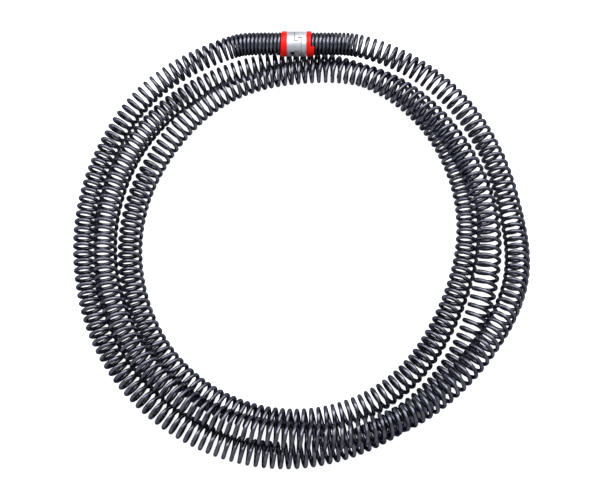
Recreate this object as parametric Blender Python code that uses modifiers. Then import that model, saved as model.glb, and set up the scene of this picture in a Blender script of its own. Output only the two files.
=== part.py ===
"""Sectional drain auger: an open-wound steel spring cable with a T-slot coupling at its ends.

The cable is coupled end to end and laid down as three loose loops. World frame: metres, +Z up,
floor at Z = 0, the coupling on the +Y side with the cable running along X through it.
"""
import math

import bmesh
import bpy
import numpy as np
from mathutils import Matrix, Vector

# Spring cable
CABLE_RADIUS = 0.016            # 32 mm outside diameter
WIRE_DIAMETER = 0.0050
TUBE_BEVEL_RESOLUTION = 4       # a bevel resolution of n gives 2 * (n + 2) sides
TUBE_SIDES = 2 * (TUBE_BEVEL_RESOLUTION + 2)
TUBE_RADIUS = CABLE_RADIUS / math.cos(math.pi / TUBE_SIDES)
WINDING_INNER_RADIUS = CABLE_RADIUS - WIRE_DIAMETER

# Where the coupling lies. The loops' centre is a little off the middle of the whole outline.
LOOP_CENTRE = Vector((-0.0002, -0.0184, 0))
COUPLING_DISTANCE = 0.2993      # from the loops' centre to the coupling's axis
COUPLING_HEIGHT = 0.050
SEAM_X = -0.0077                # plane where the two halves meet, from the loops' centre
SLOT_TILT = math.radians(48)    # slot direction, from vertical towards -Y

# Coupling halves, lengths measured from the seam
BARREL_RADIUS = 0.01725
SHOULDER_RADIUS = 0.0144
SHANK_RADIUS = 0.0107
SHANK_RIDGE = 0.0005
SHANK_RIDGE_COUNT = 6
MALE_BARREL_LENGTH = 0.0102
MALE_SHOULDER_END = 0.0158
MALE_SHANK_END = 0.056
FEMALE_BARREL_LENGTH = 0.0163
FEMALE_SHOULDER_END = 0.0220
FEMALE_SHANK_END = 0.060
EDGE_CHAMFER = 0.0006
FIT_GAP = 0.0003

# T-tongue and its slot
NECK_LENGTH = 0.0053
NECK_HALF_WIDTH = 0.0070
HEAD_LENGTH = 0.0046
HEAD_HALF_WIDTH = 0.0109

# Spring-loaded locking plunger, in the male half beside the tongue's neck
PLUNGER_OFFSET = -0.0104
PLUNGER_RADIUS = 0.0020
PLUNGER_BORE_RADIUS = 0.0023
PLUNGER_BORE_END = -0.0146
PLUNGER_FRONT = -0.0003
PLUNGER_BACK = -0.0103
PLUNGER_RECESS_END = 0.0030
RELEASE_HOLE_RADIUS = 0.0026
RELEASE_HOLE_X = -0.0029
STOP_PIN_RADIUS = 0.0009
STOP_PIN_X = -0.0060
STOP_PIN_OFFSET = -0.0129
STOP_PIN_LOW = -0.0110
STOP_PIN_HIGH = -0.0005
STOP_FLAT_DEPTH = 0.0013
STOP_FLAT_BACK = -0.0095
STOP_FLAT_FRONT = -0.0048
SPRING_COIL_RADIUS = 0.00155
SPRING_WIRE_RADIUS = 0.00025
SPRING_TURNS = 4
SPRING_FRONT = -0.0107
SPRING_BACK = -0.0143

# Wire seats: the red collars that the wire's ends butt against. Step angles are from +Y round +X.
SEAT_INNER_RADIUS = 0.0147
SEAT_OUTER_RADIUS = 0.0175
SEAT_RISE = 0.0052              # one wire turn
RING_SEGMENTS = 40
MALE_SEAT_SHORTEST = 0.0160
MALE_STEP_ANGLE = math.radians(300)
FEMALE_SEAT_LONGEST = 0.0275
FEMALE_STEP_ANGLE = math.radians(140)

# Close-wound ends around the shanks
MALE_WINDING_END = 0.0640
FEMALE_WINDING_END = 0.0690

# The route of the open-wound cable, from the female end clockwise to the male end. Each pair is
# the distance from the loops' centre and the height above the floor, in mm, every ROUTE_STEP.
ROUTE_STEP = 20
ROUTE_LOOP_1 = [
    (313, 41), (313, 24), (296, 16), (280, 18), (273, 38), (263, 53),
    (259, 51), (257, 51), (250, 48), (247, 44), (245, 42), (244, 40),
    (245, 39), (250.5, 36), (262, 31), (279, 20), (289, 16), (293, 16),
]
ROUTE_LOOP_2 = [
    (284, 16), (265, 16), (242, 16), (223, 16), (209, 16), (205, 16),
    (212, 16), (220, 16), (225, 16), (225, 16), (222, 16), (218, 16),
    (217, 16), (221.5, 16), (230.5, 16), (242, 25), (255, 32), (262, 35),
]
ROUTE_LOOP_3 = [
    (265, 45), (256, 50), (245, 50), (240, 47), (237, 38), (240, 20),
    (247, 16), (255, 16), (264, 16), (268, 16), (269, 16), (270, 16),
    (272, 16), (282, 16), (299, 16), (316, 25), (312, 44),
]
SAMPLE_STEP = 15                # degrees between the points of the tubes
LAST_SAMPLE = 1058              # the tube's last point before the straight lead into the winding
FIRST_SPLIT = 375               # the tube is cut in the middle of the stretch after these angles
SECOND_SPLIT = 735
END_STRAIGHT = 0.004            # straight lead at each end of the cable


def clear_scene():
    for item in list(bpy.data.objects):
        bpy.data.objects.remove(item, do_unlink=True)


def make_collection(name):
    group = bpy.data.collections.new(name)
    bpy.context.scene.collection.children.link(group)
    return group


def make_material(name, colour, roughness, metallic):
    material = bpy.data.materials.new(name)
    material.use_nodes = True
    shader = material.node_tree.nodes["Principled BSDF"]
    shader.inputs["Base Color"].default_value = (*colour, 1.0)
    shader.inputs["Roughness"].default_value = roughness
    shader.inputs["Metallic"].default_value = metallic
    return material


def coupling_frame():
    """X along the cable from the seam towards the female end, Z along the slot."""
    place = Vector((SEAM_X, COUPLING_DISTANCE, COUPLING_HEIGHT))
    return Matrix.Translation(LOOP_CENTRE + place) @ Matrix.Rotation(SLOT_TILT, 4, "X")


def add_object(name, data, group, material=None, matrix=None):
    item = bpy.data.objects.new(name, data)
    group.objects.link(item)
    if material:
        data.materials.append(material)
    if matrix:
        item.matrix_world = matrix
    return item


def lathe(name, profile, segments, group, material, matrix):
    """Turn (distance along the axis, radius) pairs, listed from the far end back, round X."""
    mesh = bpy.data.meshes.new(name)
    points = [(radius, 0.0, along) for along, radius in profile]
    edges = [(i, i + 1) for i in range(len(points) - 1)]
    mesh.from_pydata(points, edges, [])
    item = add_object(name, mesh, group, material, matrix @ Matrix.Rotation(math.pi / 2, 4, "Y"))
    screw = item.modifiers.new("turn", "SCREW")
    screw.steps = segments
    screw.render_steps = segments
    screw.use_merge_vertices = True
    screw.merge_threshold = 0.00001
    return item


def box_cutter(name, low, high, group, matrix):
    mesh = bpy.data.meshes.new(name)
    shape = bmesh.new()
    size = [b - a for a, b in zip(low, high)]
    middle = [(a + b) / 2 for a, b in zip(low, high)]
    bmesh.ops.create_cube(shape, size=1.0, matrix=Matrix.Translation(middle) @ Matrix.Diagonal((*size, 1)))
    shape.to_mesh(mesh)
    shape.free()
    return hide_cutter(add_object(name, mesh, group, None, matrix))


def round_cutter(name, radius, start, end, group, matrix):
    """A cylinder between two points of the coupling frame."""
    mesh = bpy.data.meshes.new(name)
    shape = bmesh.new()
    span = Vector(end) - Vector(start)
    turn = span.to_track_quat("Z", "Y").to_matrix().to_4x4()
    middle = (Vector(start) + Vector(end)) / 2
    bmesh.ops.create_cone(shape, cap_ends=True, segments=24, radius1=radius, radius2=radius,
                          depth=span.length, matrix=Matrix.Translation(middle) @ turn)
    shape.to_mesh(mesh)
    shape.free()
    return hide_cutter(add_object(name, mesh, group, None, matrix))


def hide_cutter(item):
    item.hide_render = True
    item.display_type = "WIRE"
    return item


def cut(item, *cutters):
    for cutter in cutters:
        change = item.modifiers.new(cutter.name, "BOOLEAN")
        change.operation = "DIFFERENCE"
        change.solver = "EXACT"
        change.object = cutter


def ridged_shank(start, end):
    """Profile points of the shank's ridges, which grip the inside of the winding."""
    step = (end - start) / (SHANK_RIDGE_COUNT + 1)
    points = []
    for i in range(1, SHANK_RIDGE_COUNT + 1):
        middle = start + i * step
        points.append((middle - step / 3, SHANK_RADIUS - SHANK_RIDGE))
        points.append((middle, SHANK_RADIUS))
        points.append((middle + step / 3, SHANK_RADIUS - SHANK_RIDGE))
    return points


def male_coupling(parts, cutters, frame, material):
    tip = NECK_LENGTH + HEAD_LENGTH
    profile = [
        (tip, 0.0),
        (tip, BARREL_RADIUS - EDGE_CHAMFER),
        (tip - EDGE_CHAMFER, BARREL_RADIUS),
        (-MALE_BARREL_LENGTH, BARREL_RADIUS),
        (-MALE_BARREL_LENGTH, SHOULDER_RADIUS),
        (-MALE_SHOULDER_END, SHOULDER_RADIUS),
        (-MALE_SHOULDER_END, SHANK_RADIUS - SHANK_RIDGE),
        *ridged_shank(-MALE_SHOULDER_END, -MALE_SHANK_END),
        (-MALE_SHANK_END, SHANK_RADIUS - SHANK_RIDGE),
        (-MALE_SHANK_END, 0.0),
    ]
    body = lathe("male_coupling", profile, 48, parts, material, frame)
    reach = 2 * BARREL_RADIUS
    for side, word in ((1, "left"), (-1, "right")):
        for start, end, half_width, place in (
            (0.0, NECK_LENGTH, NECK_HALF_WIDTH, "neck"),
            (NECK_LENGTH - 0.001, tip + 0.001, HEAD_HALF_WIDTH, "head"),
        ):
            near, far = sorted((side * half_width, side * reach))
            cut(body, box_cutter(f"tongue_{place}_{word}", (start, near, -reach), (end, far, reach), cutters, frame))
    bore = round_cutter("plunger_bore", PLUNGER_BORE_RADIUS, (PLUNGER_BORE_END, PLUNGER_OFFSET, 0),
                        (0.001, PLUNGER_OFFSET, 0), cutters, frame)
    release = round_cutter("release_hole", RELEASE_HOLE_RADIUS, (RELEASE_HOLE_X, PLUNGER_OFFSET, 0),
                           (RELEASE_HOLE_X, PLUNGER_OFFSET, reach), cutters, frame)
    pin_hole = round_cutter("stop_pin_hole", STOP_PIN_RADIUS + 0.00015, (STOP_PIN_X, STOP_PIN_OFFSET, -reach),
                            (STOP_PIN_X, STOP_PIN_OFFSET, STOP_PIN_HIGH + 0.0002), cutters, frame)
    cut(body, bore, release, pin_hole)
    return body


def female_coupling(parts, cutters, frame, material):
    profile = [
        (FEMALE_SHANK_END, 0.0),
        (FEMALE_SHANK_END, SHANK_RADIUS - SHANK_RIDGE),
        *reversed(ridged_shank(FEMALE_SHOULDER_END, FEMALE_SHANK_END)),
        (FEMALE_SHOULDER_END, SHANK_RADIUS - SHANK_RIDGE),
        (FEMALE_SHOULDER_END, SHOULDER_RADIUS),
        (FEMALE_BARREL_LENGTH, SHOULDER_RADIUS),
        (FEMALE_BARREL_LENGTH, BARREL_RADIUS),
        (FIT_GAP + EDGE_CHAMFER, BARREL_RADIUS),
        (FIT_GAP, BARREL_RADIUS - EDGE_CHAMFER),
        (FIT_GAP, 0.0),
    ]
    body = lathe("female_coupling", profile, 48, parts, material, frame)
    reach = 2 * BARREL_RADIUS
    lip_end = NECK_LENGTH - FIT_GAP
    slot_end = NECK_LENGTH + HEAD_LENGTH + FIT_GAP
    neck = NECK_HALF_WIDTH + FIT_GAP
    head = HEAD_HALF_WIDTH + FIT_GAP
    neck_cut = box_cutter("slot_neck", (-0.001, -neck, -reach), (lip_end + 0.001, neck, reach), cutters, frame)
    head_cut = box_cutter("slot_head", (lip_end, -head, -reach), (slot_end, head, reach), cutters, frame)
    recess = round_cutter("plunger_recess", PLUNGER_BORE_RADIUS, (-0.001, PLUNGER_OFFSET, 0),
                          (PLUNGER_RECESS_END, PLUNGER_OFFSET, 0), cutters, frame)
    cut(body, neck_cut, head_cut, recess)
    return body


def locking_plunger(parts, cutters, frame, material):
    """A turned pin with a groove for the release key and a flat for the stop pin."""
    profile = [
        (PLUNGER_FRONT, 0.0),
        (PLUNGER_FRONT, PLUNGER_RADIUS - 0.0004),
        (PLUNGER_FRONT - 0.0004, PLUNGER_RADIUS),
        (PLUNGER_FRONT - 0.0010, PLUNGER_RADIUS),
        (PLUNGER_FRONT - 0.0018, PLUNGER_RADIUS - 0.0007),
        (PLUNGER_FRONT - 0.0034, PLUNGER_RADIUS - 0.0007),
        (PLUNGER_FRONT - 0.0042, PLUNGER_RADIUS),
        (PLUNGER_BACK, PLUNGER_RADIUS),
        (PLUNGER_BACK, 0.0),
    ]
    place = frame @ Matrix.Translation((0, PLUNGER_OFFSET, 0))
    body = lathe("locking_plunger", profile, 24, parts, material, place)
    flat = box_cutter("stop_flat", (STOP_FLAT_BACK, -2 * PLUNGER_RADIUS, -2 * PLUNGER_RADIUS),
                      (STOP_FLAT_FRONT, -STOP_FLAT_DEPTH, 2 * PLUNGER_RADIUS), cutters, place)
    cut(body, flat)
    return body


def plunger_spring(parts, frame, material):
    steps = SPRING_TURNS * 10
    length = SPRING_FRONT - SPRING_BACK
    points = []
    for i in range(steps + 1):
        angle = 2 * math.pi * SPRING_TURNS * i / steps
        points.append(frame @ Vector((
            SPRING_BACK + length * i / steps,
            PLUNGER_OFFSET + SPRING_COIL_RADIUS * math.cos(angle),
            SPRING_COIL_RADIUS * math.sin(angle),
        )))
    return add_tube("plunger_spring", points, SPRING_WIRE_RADIUS, 2, 0.0, parts, material)


def stop_pin(parts, frame, material):
    mesh = bpy.data.meshes.new("plunger_stop_pin")
    shape = bmesh.new()
    middle = (STOP_PIN_X, STOP_PIN_OFFSET, (STOP_PIN_LOW + STOP_PIN_HIGH) / 2)
    bmesh.ops.create_cone(shape, cap_ends=True, segments=20, radius1=STOP_PIN_RADIUS, radius2=STOP_PIN_RADIUS,
                          depth=STOP_PIN_HIGH - STOP_PIN_LOW, matrix=Matrix.Translation(middle))
    shape.to_mesh(mesh)
    shape.free()
    return add_object("plunger_stop_pin", mesh, parts, material, frame)


def ramped_ring(name, inner, outer, flat_x, ramp_high_x, step_angle, parts, frame, material):
    """A ring round X whose one face climbs like the wire, with a step where the turn closes.

    The other face is flat at flat_x. Neither a turned nor an extruded shape has such a face,
    so the ring is lofted section by section.
    """
    mesh = bpy.data.meshes.new(name)
    shape = bmesh.new()
    flats = []
    ramps = []
    for i in range(RING_SEGMENTS + 1):
        angle = step_angle - SLOT_TILT + 2 * math.pi * i / RING_SEGMENTS
        rim = [(r * math.cos(angle), r * math.sin(angle)) for r in (inner, outer)]
        ramp_x = ramp_high_x - SEAT_RISE * i / RING_SEGMENTS
        ramps.append([shape.verts.new((ramp_x, *point)) for point in rim])
        if i < RING_SEGMENTS:
            flats.append([shape.verts.new((flat_x, *point)) for point in rim])
    flats.append(flats[0])
    last = RING_SEGMENTS - 1
    for i in range(RING_SEGMENTS):
        shape.faces.new((*flats[i], *reversed(flats[i + 1])))
        shape.faces.new((*ramps[i], *reversed(ramps[i + 1])))
        for k in (0, 1):
            wall = [flats[i][k], ramps[i][k], ramps[i + 1][k], flats[i + 1][k]]
            # at the step, the wall that runs past it takes the step's corner too
            if i == 0 and flat_x < ramp_high_x:
                wall.insert(1, ramps[-1][k])
            if i == last and flat_x > ramp_high_x:
                wall.insert(3, ramps[0][k])
            shape.faces.new(wall)
    shape.faces.new((*ramps[0], *reversed(ramps[-1])))
    bmesh.ops.recalc_face_normals(shape, faces=shape.faces)
    shape.to_mesh(mesh)
    shape.free()
    return add_object(name, mesh, parts, material, frame)


def natural_spline(knots, values):
    """Return a function for the natural cubic spline through the values at the knots."""
    knots = np.array(knots, float)
    values = np.array(values, float)
    gaps = np.diff(knots)
    count = len(knots)
    matrix = np.eye(count)
    slopes = np.zeros(count)
    for i in range(1, count - 1):
        matrix[i, i - 1:i + 2] = gaps[i - 1], 2 * (gaps[i - 1] + gaps[i]), gaps[i]
        slopes[i] = 6 * ((values[i + 1] - values[i]) / gaps[i] - (values[i] - values[i - 1]) / gaps[i - 1])
    bends = np.linalg.solve(matrix, slopes)

    def value_at(x):
        i = min(max(int(np.searchsorted(knots, x)) - 1, 0), count - 2)
        b = (x - knots[i]) / gaps[i]
        a = 1 - b
        curve = ((a ** 3 - a) * bends[i] + (b ** 3 - b) * bends[i + 1]) * gaps[i] ** 2 / 6
        return a * values[i] + b * values[i + 1] + curve

    return value_at


def straight_angle(x):
    """Angle in degrees, from the loops' centre, of the point at x on the coupling's axis."""
    return math.degrees(math.atan2(x, COUPLING_DISTANCE))


def cable_points():
    """The cable's centreline, from the female winding to the male one."""
    start_x = SEAM_X + FEMALE_WINDING_END + FIT_GAP
    end_x = SEAM_X - MALE_WINDING_END - FIT_GAP
    route = ROUTE_LOOP_1 + ROUTE_LOOP_2 + ROUTE_LOOP_3
    turns = 3 * 360
    leads = [start_x - 0.030, start_x + END_STRAIGHT]
    tails = [end_x - END_STRAIGHT, end_x + 0.030]
    knots = [straight_angle(x) for x in leads]
    knots += [ROUTE_STEP * (i + 1) for i in range(len(route))]
    knots += [turns + straight_angle(x) for x in tails]
    straight_radii = [math.hypot(x, COUPLING_DISTANCE) for x in leads + tails]
    radii = straight_radii[:2] + [radius / 1000 for radius, _ in route] + straight_radii[2:]
    heights = [COUPLING_HEIGHT] * 2 + [height / 1000 for _, height in route] + [COUPLING_HEIGHT] * 2
    radius_at = natural_spline(knots, radii)
    height_at = natural_spline(knots, heights)

    points = [Vector((x, COUPLING_DISTANCE, COUPLING_HEIGHT)) for x in (start_x, start_x + END_STRAIGHT)]
    for angle in [*range(SAMPLE_STEP, LAST_SAMPLE, SAMPLE_STEP), LAST_SAMPLE]:
        radius = radius_at(angle)
        turn = math.radians(angle)
        height = max(round(height_at(angle), 4), CABLE_RADIUS)
        points.append(Vector((radius * math.sin(turn), radius * math.cos(turn), height)))
    points += [Vector((x, COUPLING_DISTANCE, COUPLING_HEIGHT)) for x in (end_x - END_STRAIGHT, end_x)]
    return [LOOP_CENTRE + point for point in points]


def add_tube(name, points, radius, bevel_resolution, tilt, parts, material):
    curve = bpy.data.curves.new(name, "CURVE")
    curve.dimensions = "3D"
    curve.twist_mode = "Z_UP"
    curve.bevel_depth = radius
    curve.bevel_resolution = bevel_resolution
    curve.use_fill_caps = True
    spline = curve.splines.new("POLY")
    spline.points.add(len(points) - 1)
    for target, point in zip(spline.points, points):
        target.co = (*point, 1.0)
        target.tilt = tilt
    return add_object(name, curve, parts, material)


def cable_loops(parts, material):
    """The open-wound cable as three tubes of its outside diameter, cut between two points."""
    points = cable_points()
    first = FIRST_SPLIT // SAMPLE_STEP
    second = SECOND_SPLIT // SAMPLE_STEP
    tilt = math.pi / TUBE_SIDES
    cuts = []
    for index in (first, second):
        a, b = points[index], points[index + 1]
        middle = (a + b) / 2
        half_gap = (b - a).normalized() * FIT_GAP / 2
        cuts.append((middle - half_gap, middle + half_gap))
    stretches = [
        points[:first + 1] + [cuts[0][0]],
        [cuts[0][1]] + points[first + 1:second + 1] + [cuts[1][0]],
        [cuts[1][1]] + points[second + 1:],
    ]
    for number, stretch in enumerate(stretches, start=1):
        add_tube(f"cable_loop_{number}", stretch, TUBE_RADIUS, TUBE_BEVEL_RESOLUTION, tilt, parts, material)


def main():
    clear_scene()
    parts = make_collection("drain_auger")
    cutters = make_collection("cutters")
    spring_steel = make_material("black_spring_steel", (0.045, 0.045, 0.055), 0.35, 0.9)
    bright_steel = make_material("bright_steel", (0.80, 0.81, 0.83), 0.22, 1.0)
    red_paint = make_material("red_marking_paint", (0.80, 0.012, 0.008), 0.35, 0.0)
    tool_steel = make_material("hardened_pin_steel", (0.45, 0.46, 0.48), 0.30, 1.0)
    frame = coupling_frame()

    male_coupling(parts, cutters, frame, bright_steel)
    female_coupling(parts, cutters, frame, bright_steel)
    locking_plunger(parts, cutters, frame, tool_steel)
    plunger_spring(parts, frame, tool_steel)
    stop_pin(parts, frame, tool_steel)

    ramped_ring("male_wire_seat", SEAT_INNER_RADIUS, SEAT_OUTER_RADIUS, -MALE_BARREL_LENGTH - FIT_GAP,
                -MALE_SEAT_SHORTEST, MALE_STEP_ANGLE, parts, frame, red_paint)
    ramped_ring("female_wire_seat", SEAT_INNER_RADIUS, SEAT_OUTER_RADIUS, FEMALE_BARREL_LENGTH + FIT_GAP,
                FEMALE_SEAT_LONGEST, FEMALE_STEP_ANGLE, parts, frame, red_paint)
    ramped_ring("male_end_winding", WINDING_INNER_RADIUS, CABLE_RADIUS, -MALE_WINDING_END,
                -MALE_SEAT_SHORTEST - FIT_GAP, MALE_STEP_ANGLE, parts, frame, spring_steel)
    ramped_ring("female_end_winding", WINDING_INNER_RADIUS, CABLE_RADIUS, FEMALE_WINDING_END,
                FEMALE_SEAT_LONGEST + FIT_GAP, FEMALE_STEP_ANGLE, parts, frame, spring_steel)
    cable_loops(parts, spring_steel)


main()
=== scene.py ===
# Drain cleaning cable with a T-slot coupling, coupled end to end and laid in three loops.
import math

import bmesh
import bpy
import numpy as np
from mathutils import Matrix, Vector


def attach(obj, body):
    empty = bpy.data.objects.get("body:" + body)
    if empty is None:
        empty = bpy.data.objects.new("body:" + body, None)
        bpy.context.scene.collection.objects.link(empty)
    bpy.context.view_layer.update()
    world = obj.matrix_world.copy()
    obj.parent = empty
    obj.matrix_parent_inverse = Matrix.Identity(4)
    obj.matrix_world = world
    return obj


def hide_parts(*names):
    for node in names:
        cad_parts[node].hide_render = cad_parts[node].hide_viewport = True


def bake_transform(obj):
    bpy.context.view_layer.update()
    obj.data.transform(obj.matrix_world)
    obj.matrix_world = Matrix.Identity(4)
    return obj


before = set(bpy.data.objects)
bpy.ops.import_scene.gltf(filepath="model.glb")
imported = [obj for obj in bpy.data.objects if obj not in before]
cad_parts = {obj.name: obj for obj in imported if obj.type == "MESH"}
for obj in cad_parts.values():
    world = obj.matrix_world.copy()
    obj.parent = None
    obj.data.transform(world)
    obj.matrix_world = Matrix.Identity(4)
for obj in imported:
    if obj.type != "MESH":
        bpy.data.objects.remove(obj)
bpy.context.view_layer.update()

mainBody = "cable_and_male_end"
femaleBody = "female_end"

shot = {
    "target": (-0.0002, -0.0184, 0.020),
    "elevation": 65.0,  # degrees above the floor
    "distance": 1.20,
    "lens": 56.16,
}


def addCamera(values):
    target = Vector(values["target"])
    height = math.radians(values["elevation"])
    away = Vector((0, -math.cos(height), math.sin(height)))
    place = target + away * values["distance"]
    bpy.ops.object.camera_add(location=place)
    camera = bpy.context.object
    camera.name = "studioCamera"
    camera.rotation_euler = (target - place).to_track_quat("-Z", "Y").to_euler()
    camera.data.lens = values["lens"]
    camera.data.sensor_width = 36.0
    camera.data.clip_start = 0.01
    bpy.context.scene.camera = camera


addCamera(shot)
print("camera set")

cable = {
    "radius": 0.016,
    "wire": 0.0050,
    "closePitch": 0.0052,
    "openPitch": 0.01035,
    "pitchSwing": 0.0009,  # the turns open more at the loops' sides than nearest and farthest
    "pitchLean": 0.00035,  # and more on the coupling's side of the coil
    "opening": 0.030,  # length over which the close winding opens out
    "closePastFemale": 0.006,  # close turns that go on past each winding's own end
    "closePastMale": 0.016,
    "lineStep": 0.0015,
    "roundings": 60,  # passes that round off the corners where the straight leads begin
    "pointsPerTurn": 32,
    "wirePerLength": 9,  # metres of wire in a metre of cable, about
    "wireBevel": 4,  # gives the wire twelve sides
}
coupling = {
    "loopCentre": (-0.0002, -0.0184, 0.0),
    "distance": 0.2993,
    "height": 0.050,
    "seamX": -0.0077,
    "slotTilt": 48.0,  # degrees from upright, towards -Y
    "femaleWindingEnd": 0.069,
    "maleWindingEnd": 0.064,
    "slotGap": 0.00012,  # a close sliding fit
    "seatGap": 0.0003,
    "wireEndGap": 0.0001,
    "straight": 0.004,  # the lead stays straight this far past its winding
    "knotReach": 0.030,  # and starts the curve from this far inside it
    "runPoints": 40,
}
# Distance from the loops' centre and height above the floor, in mm, one point every routeStep degrees.
routeStep = 20
splineStep = 0.25
routeLoop1 = [
    (313, 41), (313, 24), (296, 16), (280, 18), (273, 38), (263, 53),
    (259, 51), (257, 51), (250, 48), (247, 44), (245, 42), (244, 40),
    (245, 39), (250.5, 36), (262, 31), (279, 20), (289, 16), (293, 16),
]
routeLoop2 = [
    (284, 16), (265, 16), (242, 16), (223, 16), (209, 16), (205, 16),
    (212, 16), (220, 16), (225, 16), (225, 16), (222, 16), (218, 16),
    (217, 16), (221.5, 16), (230.5, 16), (242, 25), (255, 32), (262, 35),
]
routeLoop3 = [
    (265, 45), (256, 50), (245, 50), (240, 47), (237, 38), (240, 20),
    (247, 16), (255, 16), (264, 16), (268, 16), (269, 16), (270, 16),
    (272, 16), (282, 16), (299, 16), (316, 25), (312, 44),
]


def naturalSpline(knots, values, at):
    # natural cubic spline through the values at the knots, read at many places
    knots = np.array(knots, float)
    values = np.array(values, float)
    gaps = np.diff(knots)
    count = len(knots)
    matrix = np.eye(count)
    rise = np.zeros(count)
    for i in range(1, count - 1):
        matrix[i, i - 1:i + 2] = gaps[i - 1], 2 * (gaps[i - 1] + gaps[i]), gaps[i]
        rise[i] = 6 * ((values[i + 1] - values[i]) / gaps[i] - (values[i] - values[i - 1]) / gaps[i - 1])
    bends = np.linalg.solve(matrix, rise)
    i = np.clip(np.searchsorted(knots, at) - 1, 0, count - 2)
    b = (at - knots[i]) / gaps[i]
    a = 1 - b
    curve = ((a ** 3 - a) * bends[i] + (b ** 3 - b) * bends[i + 1]) * gaps[i] ** 2 / 6
    return a * values[i] + b * values[i + 1] + curve


def straightAngle(x):
    return math.degrees(math.atan2(x, coupling["distance"]))


def evenlySpaced(points, step):
    steps = np.linalg.norm(np.diff(points, axis=0), axis=1)
    along = np.concatenate([[0], np.cumsum(steps)])
    places = np.linspace(0, along[-1], int(round(along[-1] / step)) + 1)
    return np.column_stack([np.interp(places, along, points[:, k]) for k in range(3)])


def straightRun(fromX, toX):
    xs = np.linspace(fromX, toX, coupling["runPoints"])
    return np.array([(x, coupling["distance"], coupling["height"]) for x in xs])


def cableLine(wireStart, wireEnd):
    # the whole centreline, from the female wire seat clockwise round to the male one
    startX = coupling["seamX"] + coupling["femaleWindingEnd"] + coupling["seatGap"]
    endX = coupling["seamX"] - coupling["maleWindingEnd"] - coupling["seatGap"]
    route = routeLoop1 + routeLoop2 + routeLoop3
    leads = [startX - coupling["knotReach"], startX + coupling["straight"]]
    tails = [endX - coupling["straight"], endX + coupling["knotReach"]]
    knots = [straightAngle(x) for x in leads]
    knots += [routeStep * (i + 1) for i in range(len(route))]
    knots += [3 * 360 + straightAngle(x) for x in tails]
    straightRadii = [math.hypot(x, coupling["distance"]) for x in leads + tails]
    radii = straightRadii[:2] + [radius / 1000 for radius, _ in route] + straightRadii[2:]
    heights = [coupling["height"]] * 2 + [height / 1000 for _, height in route] + [coupling["height"]] * 2
    angles = np.arange(knots[1], knots[-2], splineStep)
    radius = naturalSpline(knots, radii, angles)
    height = np.maximum(naturalSpline(knots, heights, angles), cable["radius"])
    turn = np.radians(angles)
    middle = np.column_stack([radius * np.sin(turn), radius * np.cos(turn), height])

    points = np.vstack([straightRun(wireStart, leads[1])[:-1], middle, straightRun(tails[0], wireEnd)])
    points = evenlySpaced(points, cable["lineStep"])
    for _ in range(cable["roundings"]):
        points[1:-1] = (points[:-2] + 2 * points[1:-1] + points[2:]) / 4
    return evenlySpaced(points, cable["lineStep"]) + np.array(coupling["loopCentre"])


def carriedFrames(line):
    # a pair of cross directions that follow the line without twisting round it
    tangents = np.gradient(line, axis=0)
    tangents /= np.linalg.norm(tangents, axis=1)[:, None]
    across = np.zeros_like(line)
    across[0] = (0, 1, 0)
    for i in range(1, len(line)):
        side = across[i - 1] - tangents[i] * np.dot(across[i - 1], tangents[i])
        across[i] = side / np.linalg.norm(side)
    return tangents, across, np.cross(tangents, across)


def smoothStep(x):
    x = np.clip(x, 0, 1)
    return x * x * (3 - 2 * x)


seat = {
    "femaleLongest": 0.0275,
    "femaleStep": 140.0,  # degrees from +Y round +X
    "maleShortest": 0.0160,
    "maleStep": 300.0,
    "rise": 0.0052,
    "inner": 0.0147,
    "outer": 0.0175,
    "softEdge": 0.0004,
}
halfWire = cable["wire"] / 2
wireStartX = coupling["seamX"] + seat["femaleLongest"] - seat["rise"] + halfWire + coupling["wireEndGap"]
wireEndX = coupling["seamX"] - seat["maleShortest"] - halfWire - coupling["wireEndGap"]
line = cableLine(wireStartX, wireEndX)
tangents, acrossN, acrossB = carriedFrames(line)
along = np.concatenate([[0], np.cumsum(np.linalg.norm(np.diff(line, axis=0), axis=1))])
cableLength = along[-1]
femaleWindingLength = coupling["femaleWindingEnd"] - (wireStartX - coupling["seamX"])
maleWindingLength = coupling["maleWindingEnd"] + (wireEndX - coupling["seamX"])
print(f"cable line {cableLength:.3f} m")


def turnCounts():
    # turns of wire up to each point of the line, with the close winding at both ends
    centre = np.array(coupling["loopCentre"])
    angle = np.arctan2(line[:, 0] - centre[0], line[:, 1] - centre[1])
    openPitch = cable["openPitch"] - cable["pitchSwing"] * np.cos(2 * angle)
    openPitch += cable["pitchLean"] * np.cos(angle)
    femaleClose = femaleWindingLength + cable["closePastFemale"]
    maleClose = maleWindingLength + cable["closePastMale"]
    opened = smoothStep((along - femaleClose) / cable["opening"])
    opened *= smoothStep((cableLength - maleClose - along) / cable["opening"])
    pitch = cable["closePitch"] + (openPitch - cable["closePitch"]) * opened
    perStep = np.diff(along) / ((pitch[1:] + pitch[:-1]) / 2)
    return np.concatenate([[0], np.cumsum(perStep)])


def fitTurns(turns):
    # stretched by a hair, so that the wire's end meets the male seat's step
    endAngle = math.degrees(math.atan2(acrossN[-1][2], acrossN[-1][1]))
    whole = round(turns[-1] - (seat["femaleStep"] + endAngle - seat["maleStep"]) / 360)
    wanted = (seat["femaleStep"] + endAngle - seat["maleStep"]) / 360 + whole
    return turns * wanted / turns[-1]


turns = fitTurns(turnCounts())
coilRadius = cable["radius"] - halfWire
print(f"{turns[-1]:.0f} turns of wire")


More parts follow.
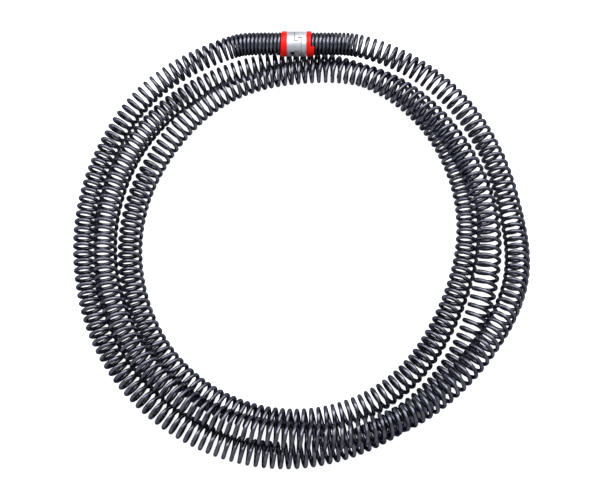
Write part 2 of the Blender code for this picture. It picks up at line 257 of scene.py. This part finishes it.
def wirePoints(fromAlong, toAlong):
    # the left-handed helix between two places along the cable
    firstTurn = np.interp(fromAlong, along, turns)
    lastTurn = np.interp(toAlong, along, turns)
    count = int(math.ceil((lastTurn - firstTurn) * cable["pointsPerTurn"])) + 1
    turn = np.linspace(firstTurn, lastTurn, count)
    place = np.interp(turn, turns, along)
    phase = np.radians(seat["femaleStep"]) - 2 * np.pi * turn
    middle = np.column_stack([np.interp(place, along, line[:, k]) for k in range(3)])
    n = np.column_stack([np.interp(place, along, acrossN[:, k]) for k in range(3)])
    b = np.column_stack([np.interp(place, along, acrossB[:, k]) for k in range(3)])
    outward = np.cos(phase)[:, None] * n + np.sin(phase)[:, None] * b
    return middle + coilRadius * outward, outward


def selectOnly(item):
    bpy.ops.object.select_all(action="DESELECT")
    item.select_set(True)
    bpy.context.view_layer.objects.active = item


def wirePiece(name, fromAlong, toAlong, material):
    points, outward = wirePoints(fromAlong, toAlong)
    curve = bpy.data.curves.new(name, "CURVE")
    curve.dimensions = "3D"
    curve.twist_mode = "MINIMUM"
    curve.bevel_depth = halfWire
    curve.bevel_resolution = cable["wireBevel"]
    curve.use_fill_caps = True
    spline = curve.splines.new("POLY")
    spline.points.add(len(points) - 1)
    flat = np.column_stack([points, np.ones(len(points))]).ravel()
    spline.points.foreach_set("co", flat)
    piece = bpy.data.objects.new(name, curve)
    bpy.context.scene.collection.objects.link(piece)
    selectOnly(piece)
    bpy.ops.object.convert(target="MESH")
    piece = bpy.context.object
    piece.name = name
    writeWireAttributes(piece.data, points, outward, fromAlong)
    bpy.ops.object.mode_set(mode="EDIT")
    bpy.ops.mesh.select_all(action="SELECT")
    bpy.ops.mesh.remove_doubles(threshold=0.000005)  # joins the caps to the tube
    bpy.ops.object.mode_set(mode="OBJECT")
    bpy.ops.object.shade_smooth_by_angle(angle=math.radians(40))
    piece.data.materials.clear()
    piece.data.materials.append(material)
    return piece


def writeWireAttributes(mesh, points, outward, fromAlong):
    # crest: how far out on its turn a place lies. wireSpace: place in the wire's section and along it
    # The mesh lists both end caps first, so places are read two rings ahead and crest tops out near 0.76.
    vertices = np.zeros(len(mesh.vertices) * 3)
    mesh.vertices.foreach_get("co", vertices)
    vertices = vertices.reshape(-1, 3)
    sides = 2 * (cable["wireBevel"] + 2)
    index = np.minimum(np.arange(len(vertices)) // sides, len(points) - 1)
    offset = vertices - points[index]
    crest = (offset * outward[index]).sum(axis=1) / halfWire / 2 + 0.5
    wireTangent = np.gradient(points, axis=0)
    wireTangent /= np.linalg.norm(wireTangent, axis=1)[:, None]
    binormal = np.cross(wireTangent, outward)
    wireAlong = np.concatenate([[0], np.cumsum(np.linalg.norm(np.diff(points, axis=0), axis=1))])
    space = np.column_stack([
        (offset * outward[index]).sum(axis=1),
        (offset * binormal[index]).sum(axis=1),
        wireAlong[index] + fromAlong * cable["wirePerLength"],
    ])
    mesh.attributes.new("crest", "FLOAT", "POINT").data.foreach_set("value", np.clip(crest, 0, 1))
    mesh.attributes.new("wireSpace", "FLOAT_VECTOR", "POINT").data.foreach_set("vector", space.ravel())


def newMaterial(name):
    material = bpy.data.materials.new(name)
    material.use_nodes = True
    return material, material.node_tree, material.node_tree.nodes["Principled BSDF"]


def addSocket(tree, name, way, kind, value=None):
    socket = tree.interface.new_socket(name=name, in_out=way, socket_type=kind)
    if value is not None:
        socket.default_value = value
    return socket


def makeGrainGroup():
    # soft patches and fine streaks along one direction, as a mask and a height
    tree = bpy.data.node_groups.new("drawnGrain", "ShaderNodeTree")
    addSocket(tree, "Vector", "INPUT", "NodeSocketVector")
    addSocket(tree, "Stretch", "INPUT", "NodeSocketVector")
    addSocket(tree, "Detail", "INPUT", "NodeSocketFloat", 3.0)
    addSocket(tree, "Streaks", "OUTPUT", "NodeSocketFloat")
    addSocket(tree, "Patches", "OUTPUT", "NodeSocketFloat")
    nodes, links = tree.nodes, tree.links
    source = nodes.new("NodeGroupInput")
    result = nodes.new("NodeGroupOutput")
    scaled = nodes.new("ShaderNodeVectorMath")
    scaled.operation = "MULTIPLY"
    streaks = nodes.new("ShaderNodeTexNoise")
    streaks.inputs["Scale"].default_value = 1.0
    patches = nodes.new("ShaderNodeTexNoise")
    patches.inputs["Scale"].default_value = 90.0
    patches.inputs["Detail"].default_value = 4.0
    links.new(source.outputs["Vector"], scaled.inputs[0])
    links.new(source.outputs["Stretch"], scaled.inputs[1])
    links.new(scaled.outputs["Vector"], streaks.inputs["Vector"])
    links.new(source.outputs["Detail"], streaks.inputs["Detail"])
    links.new(source.outputs["Vector"], patches.inputs["Vector"])
    links.new(streaks.outputs["Fac"], result.inputs["Streaks"])
    links.new(patches.outputs["Fac"], result.inputs["Patches"])
    return tree


def makeSpreadGroup():
    # stretches the middle of a noise value to 0..1 and mixes two values by it
    tree = bpy.data.node_groups.new("spreadRange", "ShaderNodeTree")
    addSocket(tree, "Value", "INPUT", "NodeSocketFloat", 0.5)
    addSocket(tree, "Low", "INPUT", "NodeSocketFloat", 0.0)
    addSocket(tree, "High", "INPUT", "NodeSocketFloat", 1.0)
    addSocket(tree, "Result", "OUTPUT", "NodeSocketFloat")
    nodes, links = tree.nodes, tree.links
    source = nodes.new("NodeGroupInput")
    result = nodes.new("NodeGroupOutput")
    spread = nodes.new("ShaderNodeMapRange")
    spread.inputs["From Min"].default_value = 0.32
    spread.inputs["From Max"].default_value = 0.68
    links.new(source.outputs["Value"], spread.inputs["Value"])
    links.new(source.outputs["Low"], spread.inputs["To Min"])
    links.new(source.outputs["High"], spread.inputs["To Max"])
    links.new(spread.outputs["Result"], result.inputs["Result"])
    return tree


def makeWearGroup():
    # a broken mask along outside edges
    firstEdge = 0.51  # pointiness, which is 0.5 on a flat face
    tree = bpy.data.node_groups.new("edgeWear", "ShaderNodeTree")
    addSocket(tree, "Vector", "INPUT", "NodeSocketVector")
    addSocket(tree, "Spread", "INPUT", "NodeSocketFloat", 0.05)
    addSocket(tree, "Edges", "OUTPUT", "NodeSocketFloat")
    nodes, links = tree.nodes, tree.links
    source = nodes.new("NodeGroupInput")
    result = nodes.new("NodeGroupOutput")
    surface = nodes.new("ShaderNodeNewGeometry")
    noise = nodes.new("ShaderNodeTexNoise")
    noise.inputs["Scale"].default_value = 700.0
    noise.inputs["Detail"].default_value = 3.0
    limit = nodes.new("ShaderNodeMath")
    limit.operation = "ADD"
    limit.inputs[0].default_value = firstEdge
    edges = nodes.new("ShaderNodeMapRange")
    edges.inputs["From Min"].default_value = firstEdge
    broken = nodes.new("ShaderNodeMath")
    broken.operation = "MULTIPLY"
    links.new(source.outputs["Vector"], noise.inputs["Vector"])
    links.new(source.outputs["Spread"], limit.inputs[1])
    links.new(limit.outputs["Value"], edges.inputs["From Max"])
    links.new(surface.outputs["Pointiness"], edges.inputs["Value"])
    links.new(edges.outputs["Result"], broken.inputs[0])
    links.new(noise.outputs["Fac"], broken.inputs[1])
    links.new(broken.outputs["Value"], result.inputs["Edges"])
    return tree


grainGroup = makeGrainGroup()
spreadGroup = makeSpreadGroup()
wearGroup = makeWearGroup()


def addGroup(tree, group, **values):
    node = tree.nodes.new("ShaderNodeGroup")
    node.node_tree = group
    for name, value in values.items():
        node.inputs[name].default_value = value
    return node


def addRamp(tree, source, stops):
    ramp = tree.nodes.new("ShaderNodeValToRGB")
    elements = ramp.color_ramp.elements
    while len(elements) < len(stops):
        elements.new(0.5)
    for element, (place, colour) in zip(elements, stops):
        element.position = place
        element.color = (*colour, 1.0)
    tree.links.new(source, ramp.inputs["Fac"])
    return ramp


def addMath(tree, operation, first, second):
    node = tree.nodes.new("ShaderNodeMath")
    node.operation = operation
    tree.links.new(first, node.inputs[0])
    tree.links.new(second, node.inputs[1])
    return node


def addBump(tree, shader, height, strength, distance):
    bump = tree.nodes.new("ShaderNodeBump")
    bump.inputs["Strength"].default_value = strength
    bump.inputs["Distance"].default_value = distance
    tree.links.new(height, bump.inputs["Height"])
    tree.links.new(bump.outputs["Normal"], shader.inputs["Normal"])


def addMix(tree, factor, first, second):
    mix = tree.nodes.new("ShaderNodeMix")
    mix.data_type = "RGBA"
    tree.links.new(factor, mix.inputs["Factor"])
    for socket, value in ((mix.inputs[6], first), (mix.inputs[7], second)):
        if isinstance(value, tuple):
            socket.default_value = (*value, 1.0)
        else:
            tree.links.new(value, socket)
    return mix


springWire = {
    "dark": (0.042, 0.043, 0.056),
    "light": (0.165, 0.170, 0.200),
    # paler outside of each turn: rubbed wear and painted highlight
    "rubbedSheen": (0.62, 0.62, 0.64),
    "rubSheenFrom": 0.70,  # crest at which the rubbed wear and painted highlight start
    "rubSheenMost": 0.6,
    "darkUntil": 0.34,  # cloudiness below which the oxide is at its darkest
    "lightFrom": 0.70,
    "dieMarks": (2600.0, 2600.0, 90.0),
    "roughLow": 0.14,
    "roughHigh": 0.25,
    "oilFilm": 0.12,
    "rimTint": (0.30, 0.30, 0.36),  # what the wire reflects at a glancing angle
    "oilRough": 0.12,
    "bump": 0.12,
    "markDepth": 0.0001,
}


def makeWireMaterial(values):
    # oil-blackened drawn wire: lengthwise die marks, cloudy oxide, the outside of each turn paler as
    # rubbed wear and painted highlight
    material, tree, shader = newMaterial("blackSpringSteel")
    space = tree.nodes.new("ShaderNodeAttribute")
    space.attribute_name = "wireSpace"
    crest = tree.nodes.new("ShaderNodeAttribute")
    crest.attribute_name = "crest"
    grain = addGroup(tree, grainGroup, Stretch=values["dieMarks"], Detail=3.0)
    tree.links.new(space.outputs["Vector"], grain.inputs["Vector"])
    oxide = [(values["darkUntil"], values["dark"]), (values["lightFrom"], values["light"])]
    cloud = addRamp(tree, grain.outputs["Patches"], oxide)
    # painted highlight with rubbed wear: the outside of each turn made paler
    rubbedSheen = tree.nodes.new("ShaderNodeMapRange")
    rubbedSheen.inputs["From Min"].default_value = values["rubSheenFrom"]
    rubbedSheen.inputs["From Max"].default_value = 1.0
    rubbedSheen.inputs["To Max"].default_value = values["rubSheenMost"]
    tree.links.new(crest.outputs["Fac"], rubbedSheen.inputs["Value"])
    streakMask = addGroup(tree, spreadGroup, Low=0.15, High=1.0)
    tree.links.new(grain.outputs["Streaks"], streakMask.inputs["Value"])
    broken = addMath(tree, "MULTIPLY", rubbedSheen.outputs["Result"], streakMask.outputs["Result"])
    colour = addMix(tree, broken.outputs["Value"], cloud.outputs["Color"], values["rubbedSheen"])
    tree.links.new(colour.outputs[2], shader.inputs["Base Color"])
    rough = addGroup(tree, spreadGroup, Low=values["roughLow"], High=values["roughHigh"])
    tree.links.new(grain.outputs["Streaks"], rough.inputs["Value"])
    tree.links.new(rough.outputs["Result"], shader.inputs["Roughness"])
    film = addGroup(tree, spreadGroup, Low=0.0, High=values["oilFilm"])
    tree.links.new(grain.outputs["Patches"], film.inputs["Value"])
    tree.links.new(film.outputs["Result"], shader.inputs["Coat Weight"])
    shader.inputs["Coat Roughness"].default_value = values["oilRough"]
    shader.inputs["Specular Tint"].default_value = (*values["rimTint"], 1.0)
    shader.inputs["Metallic"].default_value = 1.0
    addBump(tree, shader, grain.outputs["Streaks"], values["bump"], values["markDepth"])
    return material


turnedSteel = {
    "dull": (0.46, 0.47, 0.50),
    "bright": (0.58, 0.59, 0.62),
    "edge": (0.62, 0.62, 0.63),
    "roughLow": 0.46,
    "roughHigh": 0.58,
    "toolMarks": (3200.0, 60.0, 60.0),
    "bump": 0.035,
    # painted shade colour for the slot and bores, partly grease
    "hollowShade": (0.014, 0.013, 0.012),
}
pinSteel = {
    "dull": (0.30, 0.31, 0.33),
    "bright": (0.52, 0.53, 0.55),
    "edge": (0.75, 0.75, 0.76),
    "roughLow": 0.22,
    "roughHigh": 0.40,
    "toolMarks": (9000.0, 400.0, 400.0),
    "bump": 0.06,
    # painted shade colour for hollows
    "hollowShade": (0.10, 0.10, 0.10),
}


def makeBareSteel(name, values):
    # fine tool marks run round the cable's axis, with smudges, brighter edges and painted shade in the
    # hollows
    dullUntil, brightFrom = 0.30, 0.62
    markDepth = 0.00006
    material, tree, shader = newMaterial(name)
    place = tree.nodes.new("ShaderNodeTexCoord")
    grain = addGroup(tree, grainGroup, Stretch=values["toolMarks"], Detail=4.0)
    tree.links.new(place.outputs["Object"], grain.inputs["Vector"])
    wear = addGroup(tree, wearGroup, Spread=0.06)
    tree.links.new(place.outputs["Object"], wear.inputs["Vector"])
    smudges = [(dullUntil, values["dull"]), (brightFrom, values["bright"])]
    tone = addRamp(tree, grain.outputs["Patches"], smudges)
    edged = addMix(tree, wear.outputs["Edges"], tone.outputs["Color"], values["edge"])
    # painted shade in the slot and bores, partly grease: hollows darkened and made matte
    shadedHollow = tree.nodes.new("ShaderNodeAttribute")
    shadedHollow.attribute_name = "shadedHollow"
    colour = addMix(tree, shadedHollow.outputs["Fac"], edged.outputs[2], values["hollowShade"])
    tree.links.new(colour.outputs[2], shader.inputs["Base Color"])
    rough = addGroup(tree, spreadGroup, Low=values["roughLow"], High=values["roughHigh"])
    tree.links.new(grain.outputs["Streaks"], rough.inputs["Value"])
    shadeRough = addMath(tree, "MAXIMUM", rough.outputs["Result"], shadedHollow.outputs["Fac"])
    tree.links.new(shadeRough.outputs["Value"], shader.inputs["Roughness"])
    shader.inputs["Metallic"].default_value = 1.0
    addBump(tree, shader, grain.outputs["Streaks"], values["bump"], markDepth)
    return material


redPaint = {
    "deep": (0.62, 0.004, 0.002),
    "bright": (0.84, 0.008, 0.004),
    "deepUntil": 0.32,
    "brightFrom": 0.60,
    "bareSteel": (0.42, 0.36, 0.35),
    "chipFrom": 0.55,  # edge wear at which the paint starts to chip
    "chipFully": 0.70,
    "roughLow": 0.26,
    "roughHigh": 0.42,
    "specular": 0.15,
    "coat": 0.08,
    "coatRough": 0.10,
    "bump": 0.12,
    "peelDepth": 0.00005,
}


def makeRedPaint(values):
    # gloss paint with a slight orange peel, chipped to the steel along its edges
    material, tree, shader = newMaterial("glossRedPaint")
    place = tree.nodes.new("ShaderNodeTexCoord")
    grain = addGroup(tree, grainGroup, Stretch=(1500.0, 1500.0, 1500.0), Detail=2.0)
    tree.links.new(place.outputs["Object"], grain.inputs["Vector"])
    wear = addGroup(tree, wearGroup, Spread=0.05)
    tree.links.new(place.outputs["Object"], wear.inputs["Vector"])
    reds = [(values["deepUntil"], values["deep"]), (values["brightFrom"], values["bright"])]
    tone = addRamp(tree, grain.outputs["Patches"], reds)
    chips = tree.nodes.new("ShaderNodeMapRange")
    chips.inputs["From Min"].default_value = values["chipFrom"]
    chips.inputs["From Max"].default_value = values["chipFully"]
    tree.links.new(wear.outputs["Edges"], chips.inputs["Value"])
    colour = addMix(tree, chips.outputs["Result"], tone.outputs["Color"], values["bareSteel"])
    tree.links.new(colour.outputs[2], shader.inputs["Base Color"])
    tree.links.new(chips.outputs["Result"], shader.inputs["Metallic"])
    rough = addGroup(tree, spreadGroup, Low=values["roughLow"], High=values["roughHigh"])
    tree.links.new(grain.outputs["Patches"], rough.inputs["Value"])
    tree.links.new(rough.outputs["Result"], shader.inputs["Roughness"])
    shader.inputs["Specular IOR Level"].default_value = values["specular"]
    shader.inputs["Coat Weight"].default_value = values["coat"]
    shader.inputs["Coat Roughness"].default_value = values["coatRough"]
    addBump(tree, shader, grain.outputs["Streaks"], values["bump"], values["peelDepth"])
    return material


wireMaterial = makeWireMaterial(springWire)
brightMaterial = makeBareSteel("turnedBrightSteel", turnedSteel)
pinMaterial = makeBareSteel("hardenedPinSteel", pinSteel)
redMaterial = makeRedPaint(redPaint)
print("materials made")

seamPlace = Vector(coupling["loopCentre"])
seamPlace += Vector((coupling["seamX"], coupling["distance"], coupling["height"]))
couplingFrame = Matrix.Translation(seamPlace) @ Matrix.Rotation(math.radians(coupling["slotTilt"]), 4, "X")
# lengths run along the cable from the plane where the two halves meet
halves = {
    "segments": 96,
    "barrelRadius": 0.01725,
    "shoulderRadius": 0.0144,
    "shankRadius": 0.0107,
    "ridge": 0.0005,
    "ridgeCount": 6,
    "maleBarrel": 0.0102,
    "maleShoulder": 0.0158,
    "maleShank": 0.056,
    "femaleBarrel": 0.0163,
    "femaleShoulder": 0.0220,
    "femaleShank": 0.060,
    "chamfer": 0.0006,
    "neckLength": 0.0053,
    "neckHalfWidth": 0.0070,
    "headLength": 0.0046,
    "headHalfWidth": 0.0109,
    "rebateWidth": 0.0008,
    "rebateDepth": 0.0012,
    "softEdge": 0.00060,
    # strength of the painted shade away from the rim
    "shadeInside": 0.7,
}
plunger = {
    "offset": -0.0104,  # from the cable's axis, across the slot
    "boreRadius": 0.0023,
    "boreEnd": -0.0146,
    "recessEnd": 0.0030,
    "releaseRadius": 0.0026,
    "releaseX": -0.0029,
    "pinHoleRadius": 0.00105,
    "pinX": -0.0060,
    "pinOffset": -0.0129,
    "pinHoleTop": -0.0003,
}
past = 0.001  # how far a cutter runs on past the face it opens


def turnedPiece(name, profile, segments):
    # a filled circle across the cable's axis, drawn out along the profile step by step
    bpy.ops.object.select_all(action="DESELECT")
    x, radius = profile[0]
    bpy.ops.mesh.primitive_circle_add(vertices=segments, radius=radius, fill_type="NGON",
                                      location=(x, 0, 0), rotation=(0, math.pi / 2, 0))
    piece = bpy.context.object
    piece.name = name
    bpy.ops.object.transform_apply(location=True, rotation=True, scale=True)
    bpy.ops.object.mode_set(mode="EDIT")
    bpy.ops.mesh.select_all(action="SELECT")
    for nextX, nextRadius in profile[1:]:
        bpy.ops.mesh.extrude_region_move(TRANSFORM_OT_translate={"value": (nextX - x, 0, 0)})
        growth = nextRadius / radius
        bpy.ops.transform.resize(value=(1, growth, growth), center_override=(nextX, 0, 0))
        x, radius = nextX, nextRadius
    bpy.ops.mesh.select_all(action="SELECT")
    bpy.ops.mesh.normals_make_consistent(inside=False)
    bpy.ops.object.mode_set(mode="OBJECT")
    return piece


def boxCutter(low, high):
    low, high = Vector(low), Vector(high)
    bpy.ops.object.select_all(action="DESELECT")
    bpy.ops.mesh.primitive_cube_add(size=1.0, location=(low + high) / 2, scale=high - low)
    return bpy.context.object


def roundCutter(start, end, radius):
    start, end = Vector(start), Vector(end)
    turn = (end - start).to_track_quat("Z", "Y").to_euler()
    bpy.ops.object.select_all(action="DESELECT")
    bpy.ops.mesh.primitive_cylinder_add(vertices=48, radius=radius, depth=(end - start).length,
                                        location=(start + end) / 2, rotation=turn)
    return bpy.context.object


def cutAway(piece, cutters):
    for cutter in cutters:
        change = piece.modifiers.new("cut", "BOOLEAN")
        change.operation = "DIFFERENCE"
        change.solver = "EXACT"
        change.object = cutter
        selectOnly(piece)
        bpy.ops.object.modifier_apply(modifier=change.name)
        bpy.data.objects.remove(cutter, do_unlink=True)


def paintHollowShade(piece, values):
    # painted shade, with some old grease, in the slot and the bores, darkest along their corners
    firstX = values["softEdge"] - values["maleBarrel"]
    lastX = values["femaleBarrel"] - values["softEdge"]
    nearRim = values["barrelRadius"] - values["softEdge"]
    outermost = 0.95 * values["barrelRadius"]
    shadedHollow = piece.data.attributes.new("shadedHollow", "FLOAT", "FACE")
    for face in piece.data.polygons:
        x, y, z = face.center
        facesOut = y * face.normal.y + z * face.normal.z >= outermost
        if facesOut or not firstX < x < lastX:
            continue
        shadedHollow.data[face.index].value = 1.0 if math.hypot(y, z) > nearRim else values["shadeInside"]


def finishEdges(piece, width, segments, angle):
    soften = piece.modifiers.new("softEdges", "BEVEL")
    soften.width = width
    soften.segments = segments
    soften.limit_method = "ANGLE"
    soften.angle_limit = math.radians(angle)
    selectOnly(piece)
    bpy.ops.object.modifier_apply(modifier=soften.name)
    paintHollowShade(piece, halves)
    piece.data.transform(couplingFrame)
    bpy.ops.object.shade_smooth_by_angle(angle=math.radians(angle))


def shankProfile(start, end, values):
    # low rings that grip the inside of the winding
    step = (end - start) / (values["ridgeCount"] + 1)
    low = values["shankRadius"] - values["ridge"]
    points = [(start, low)]
    for i in range(1, values["ridgeCount"] + 1):
        middle = start + i * step
        points += [(middle - step / 3, low), (middle, values["shankRadius"]), (middle + step / 3, low)]
    return points + [(end, low)]


def makeMaleCoupling(values, lock):
    tip = values["neckLength"] + values["headLength"]
    reach = 2 * values["barrelRadius"]
    profile = [
        (tip, values["barrelRadius"] - values["chamfer"]),
        (tip - values["chamfer"], values["barrelRadius"]),
        (-values["maleBarrel"], values["barrelRadius"]),
        (-values["maleBarrel"], values["shoulderRadius"]),
        (-values["maleShoulder"], values["shoulderRadius"]),
    ]
    profile += shankProfile(-values["maleShoulder"], -values["maleShank"], values)
    piece = turnedPiece("maleCouplingHalf", profile, values["segments"])
    neck, head = values["neckHalfWidth"], values["headHalfWidth"]
    cutters = []
    for side in (1, -1):  # both flanks of the T-shaped tongue
        flanks = ((0.0, values["neckLength"], neck), (values["neckLength"] - past, tip + past, head))
        for start, end, half in flanks:
            near, far = sorted((side * half, side * reach))
            cutters.append(boxCutter((start, near, -reach), (end, far, reach)))
    row, releaseX = lock["offset"], lock["releaseX"]
    pinX, pinRow = lock["pinX"], lock["pinOffset"]
    cutters += [
        roundCutter((lock["boreEnd"], row, 0), (past, row, 0), lock["boreRadius"]),
        roundCutter((releaseX, row, 0), (releaseX, row, reach), lock["releaseRadius"]),
        roundCutter((pinX, pinRow, -reach), (pinX, pinRow, lock["pinHoleTop"]), lock["pinHoleRadius"]),
    ]
    cutAway(piece, cutters)
    return piece


def rebateCutters(start, end, half, values):
    # a shallow step along the slot's outer edges, at both of its open ends
    width, reach = values["rebateWidth"], 2 * values["barrelRadius"]
    low = math.sqrt(values["barrelRadius"] ** 2 - half ** 2) - values["rebateDepth"]
    cutters = []
    for side in (1, -1):
        for face in (1, -1):
            near, far = sorted((side * (half - width), side * (half + width)))
            bottom, top = sorted((face * low, face * reach))
            cutters.append(boxCutter((start, near, bottom), (end, far, top)))
    return cutters


def makeFemaleCoupling(values, lock):
    gap = coupling["slotGap"]
    reach = 2 * values["barrelRadius"]
    profile = [
        (gap, values["barrelRadius"] - values["chamfer"]),
        (gap + values["chamfer"], values["barrelRadius"]),
        (values["femaleBarrel"], values["barrelRadius"]),
        (values["femaleBarrel"], values["shoulderRadius"]),
        (values["femaleShoulder"], values["shoulderRadius"]),
    ]
    profile += shankProfile(values["femaleShoulder"], values["femaleShank"], values)
    piece = turnedPiece("femaleCouplingHalf", profile, values["segments"])
    neck, head = values["neckHalfWidth"] + gap, values["headHalfWidth"] + gap
    lipEnd = values["neckLength"] - gap
    slotEnd = values["neckLength"] + values["headLength"] + gap
    row = lock["offset"]
    cutters = [
        boxCutter((-past, -neck, -reach), (lipEnd + past, neck, reach)),
        boxCutter((lipEnd, -head, -reach), (slotEnd, head, reach)),
        roundCutter((-past, row, 0), (lock["recessEnd"], row, 0), lock["boreRadius"]),
    ]
    cutters += rebateCutters(-past, lipEnd, neck, values)
    cutters += rebateCutters(lipEnd, slotEnd, head, values)
    cutAway(piece, cutters)
    return piece


def makeWireSeat(name, flatX, highX, stepAngle):
    # a collar whose outer face climbs one wire turn and drops back at a step for the wire's end
    count = halves["segments"]
    shape = bmesh.new()
    flats, ramps = [], []
    for i in range(count + 1):
        angle = math.radians(stepAngle - coupling["slotTilt"]) + 2 * math.pi * i / count
        cosine, sine = math.cos(angle), math.sin(angle)
        rim = [(radius * cosine, radius * sine) for radius in (seat["inner"], seat["outer"])]
        rampX = highX - seat["rise"] * i / count
        ramps.append([shape.verts.new((rampX, *point)) for point in rim])
        if i < count:
            flats.append([shape.verts.new((flatX, *point)) for point in rim])
    flats.append(flats[0])
    for i in range(count):
        shape.faces.new((*flats[i], *reversed(flats[i + 1])))
        shape.faces.new((*ramps[i], *reversed(ramps[i + 1])))
        for k in (0, 1):
            wall = [flats[i][k], ramps[i][k], ramps[i + 1][k], flats[i + 1][k]]
            if i == 0 and flatX < highX:  # the wall that runs past the step takes the step's corner too
                wall.insert(1, ramps[-1][k])
            if i == count - 1 and flatX > highX:
                wall.insert(3, ramps[0][k])
            shape.faces.new(wall)
    shape.faces.new((*ramps[0], *reversed(ramps[-1])))
    bmesh.ops.recalc_face_normals(shape, faces=shape.faces)
    mesh = bpy.data.meshes.new(name)
    shape.to_mesh(mesh)
    shape.free()
    piece = bpy.data.objects.new(name, mesh)
    bpy.context.scene.collection.objects.link(piece)
    return piece


def giveMaterial(piece, material):
    piece.data.materials.clear()
    piece.data.materials.append(material)


maleHalf = makeMaleCoupling(halves, plunger)
femaleHalf = makeFemaleCoupling(halves, plunger)
bothHalves = (
    (maleHalf, mainBody, "male_coupling"),
    (femaleHalf, femaleBody, "female_coupling"),
)
for piece, body, node in bothHalves:
    finishEdges(piece, halves["softEdge"], 2, 30)
    giveMaterial(piece, brightMaterial)
    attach(piece, body)
    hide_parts(node)
print("coupling halves made")

maleFlat = -halves["maleBarrel"] - coupling["seatGap"]
femaleFlat = halves["femaleBarrel"] + coupling["seatGap"]
maleSeat = makeWireSeat("maleWireSeat", maleFlat, -seat["maleShortest"], seat["maleStep"])
femaleSeat = makeWireSeat("femaleWireSeat", femaleFlat, seat["femaleLongest"], seat["femaleStep"])
bothSeats = (
    (maleSeat, mainBody, "male_wire_seat"),
    (femaleSeat, femaleBody, "female_wire_seat"),
)
for piece, body, node in bothSeats:
    finishEdges(piece, seat["softEdge"], 3, 40)
    giveMaterial(piece, redMaterial)
    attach(piece, body)
    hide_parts(node)
for nodeName in ("locking_plunger", "plunger_spring", "plunger_stop_pin"):
    giveMaterial(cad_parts[nodeName], pinMaterial)
print("wire seats made")

blendLength = 0.36  # the springy stretch that bends when the female end slides out
firstLoopEnd, secondLoopEnd = 0.36, 0.68  # as parts of the cable's length
splitAt = {
    "winding": femaleWindingLength,
    "lead": femaleWindingLength + blendLength,
    "first": firstLoopEnd * cableLength,
    "second": secondLoopEnd * cableLength,
    "maleWinding": cableLength - maleWindingLength,
}
femaleWinding = wirePiece("femaleWinding", 0.0, splitAt["winding"], wireMaterial)
cableLead = wirePiece("cableLead", splitAt["winding"], splitAt["lead"], wireMaterial)
cableFirst = wirePiece("cableFirstLoop", splitAt["lead"], splitAt["first"], wireMaterial)
cableSecond = wirePiece("cableSecondLoop", splitAt["first"], splitAt["second"], wireMaterial)
cableThird = wirePiece("cableThirdLoop", splitAt["second"], splitAt["maleWinding"], wireMaterial)
maleWinding = wirePiece("maleWinding", splitAt["maleWinding"], cableLength, wireMaterial)
print("wire made")


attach(femaleWinding, femaleBody)
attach(maleWinding, mainBody)
for piece in (cableFirst, cableSecond, cableThird):
    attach(piece, mainBody)
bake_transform(cableLead)
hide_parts("female_end_winding")
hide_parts("male_end_winding")
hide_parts("cable_loop_1")
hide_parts("cable_loop_2")
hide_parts("cable_loop_3")

studio = {
    "floorSize": 6.0,
    "floorColour": (0.50, 0.50, 0.51),
    "floorRoughness": 0.8,
    "floorGlow": 0.85,  # seen by the camera only, so that the floor stays white round dark steel
    "key": {"place": (0.0, 0.35, 1.60), "size": (1.8, 1.5), "power": 28.0, "colour": (1.0, 0.99, 0.98)},
    "fill": {"place": (-1.5, 0.5, 1.5), "size": (0.8, 1.6), "power": 14.0, "colour": (0.92, 0.95, 1.0)},
    "back": {"place": (1.4, 1.1, 1.5), "size": (0.8, 1.6), "power": 14.0, "colour": (0.92, 0.95, 1.0)},
    "aim": (0, 0, 0.02),
    "sky": (0.68, 0.71, 0.78),
    "skyStrength": 0.90,
}
bpy.ops.object.select_all(action="DESELECT")
bpy.ops.mesh.primitive_plane_add(size=studio["floorSize"], location=(0, 0, 0))
floor = bpy.context.object
floor.name = "studioFloor"
floorMaterial, floorTree, floorShader = newMaterial("paleFloor")
floorShader.inputs["Base Color"].default_value = (*studio["floorColour"], 1)
floorShader.inputs["Roughness"].default_value = studio["floorRoughness"]
floorShader.inputs["Emission Color"].default_value = (1, 1, 1, 1)
rays = floorTree.nodes.new("ShaderNodeLightPath")
glow = floorTree.nodes.new("ShaderNodeMath")
glow.operation = "MULTIPLY"
glow.inputs[1].default_value = studio["floorGlow"]
floorTree.links.new(rays.outputs["Is Camera Ray"], glow.inputs[0])
floorTree.links.new(glow.outputs["Value"], floorShader.inputs["Emission Strength"])
floor.data.materials.append(floorMaterial)


def addSoftLight(name, values, target):
    bpy.ops.object.light_add(type="AREA", location=values["place"])
    light = bpy.context.object
    light.name = name
    light.data.shape = "RECTANGLE"
    light.data.size, light.data.size_y = values["size"]
    light.data.energy = values["power"]
    light.data.color = values["colour"]
    away = Vector(target) - Vector(values["place"])
    light.rotation_euler = away.to_track_quat("-Z", "Y").to_euler()


for name in ("key", "fill", "back"):
    addSoftLight(name + "Softbox", studio[name], studio["aim"])
world = bpy.data.worlds.new("studioWorld")
bpy.context.scene.world = world
world.use_nodes = True
sky = world.node_tree.nodes["Background"]
sky.inputs["Color"].default_value = (*studio["sky"], 1)
sky.inputs["Strength"].default_value = studio["skyStrength"]
bpy.context.scene.view_settings.view_transform = "Standard"
print("floor and light set")
